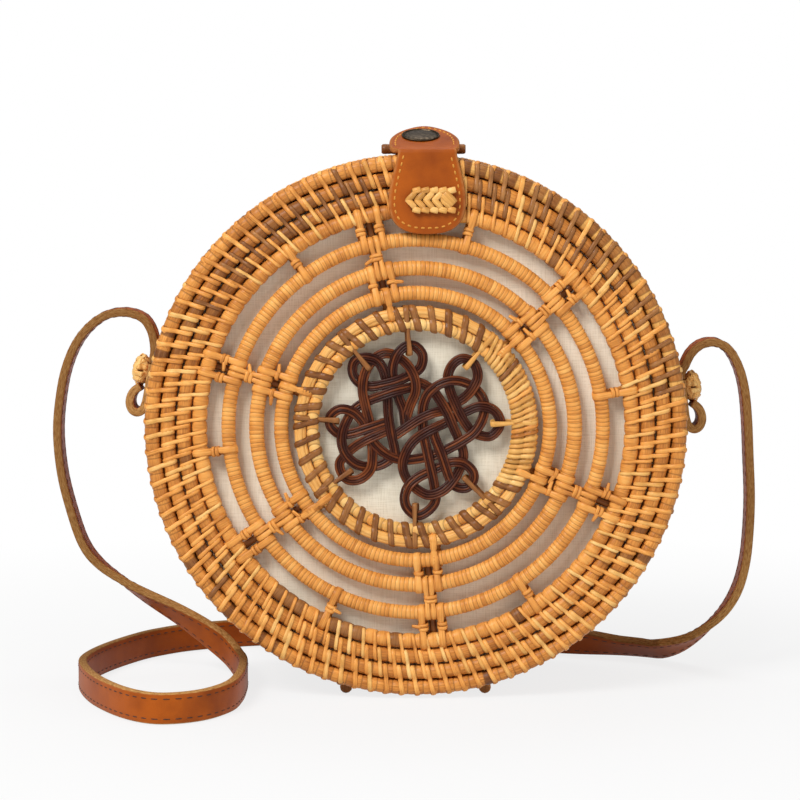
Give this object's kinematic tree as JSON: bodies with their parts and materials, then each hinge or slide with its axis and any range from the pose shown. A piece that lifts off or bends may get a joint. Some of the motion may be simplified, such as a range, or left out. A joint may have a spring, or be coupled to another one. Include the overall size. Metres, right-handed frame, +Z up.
{
  "type": "rattan bag",
  "caption": "Round hard shoulder bag of coiled rattan, with an openwork knotted face, hinged halves, a leather snap flap and a leather strap",
  "frame": {"origin": "On the floor under the middle of the bag, strap left out: x = 0 and y = 0 at the middle of its width and depth, z = 0 at the runner feet.", "axes": "+Z up. The openwork face looks along -Y and the closed coiled back along +Y. +X is to the right as seen from the front."},
  "size_m": [0.2696, 0.1567, 0.2116],
  "materials": {
    "rattan_honey": "smoked honey cane, satin",
    "rattan_dark": "dark red-brown cane, polished",
    "rattan_straw": "pale straw cane, satin",
    "canvas": "off-white plain weave",
    "leather": "tan, smooth, stitched",
    "bronze": "antiqued dark bronze"
  },
  "bodies": {
    "back_half": {"back_shell": "rattan_honey", "back_lining": "canvas", "closure_tab_back": "leather", "clasp_bar": "rattan_dark", "snap_stud": "bronze", "hinge_lashing_left": "rattan_honey", "hinge_lashing_right": "rattan_honey", "strap_knob_left": "rattan_straw", "strap_knob_right": "rattan_straw", "strap_end_loop_left": "leather", "strap_end_loop_right": "leather", "strap": "leather", "foot_back_left": "rattan_honey", "foot_back_right": "rattan_honey"},
    "front_half": {"front_shell": "rattan_honey", "ring_outer": "rattan_honey", "ring_middle": "rattan_honey", "ring_inner": "rattan_honey", "centre_hoop": "rattan_straw", "spoke_lashing_1": "rattan_honey", "spoke_lashing_2": "rattan_honey", "spoke_lashing_3": "rattan_honey", "spoke_lashing_4": "rattan_honey", "spoke_lashing_5": "rattan_honey", "spoke_lashing_6": "rattan_honey", "rim_tie_1": "rattan_honey", "rim_tie_2": "rattan_honey", "rim_tie_3": "rattan_honey", "rim_tie_4": "rattan_honey", "rim_tie_5": "rattan_honey", "rim_tie_6": "rattan_honey", "knot_ornament": "rattan_dark", "knot_tie_1": "rattan_dark", "knot_tie_2": "rattan_straw", "knot_tie_3": "rattan_straw", "knot_tie_4": "rattan_dark", "knot_tie_5": "rattan_dark", "knot_tie_6": "rattan_dark", "knot_tie_7": "rattan_dark", "knot_tie_8": "rattan_dark", "front_lining": "canvas", "closure_tab_front": "leather", "closure_braid": "rattan_straw", "foot_front_left": "rattan_honey", "foot_front_right": "rattan_honey"},
    "closure_flap": {"closure_flap": "leather", "snap_cap": "bronze", "snap_socket": "bronze"}
  },
  "joints": [
    {"name": "front_opening", "type": "hinge", "parent": "back_half", "child": "front_half", "pos_m": [0, -0.00305, 0.0039], "axis": [1, 0, 0], "range_deg": [0, 60], "deforming": ["strap"]},
    {"name": "flap_lift", "type": "hinge", "parent": "front_half", "child": "closure_flap", "pos_m": [0.0032, -0.0413, 0.20207], "axis": [1, 0, 0], "range_deg": [0, 110]}
  ]
}
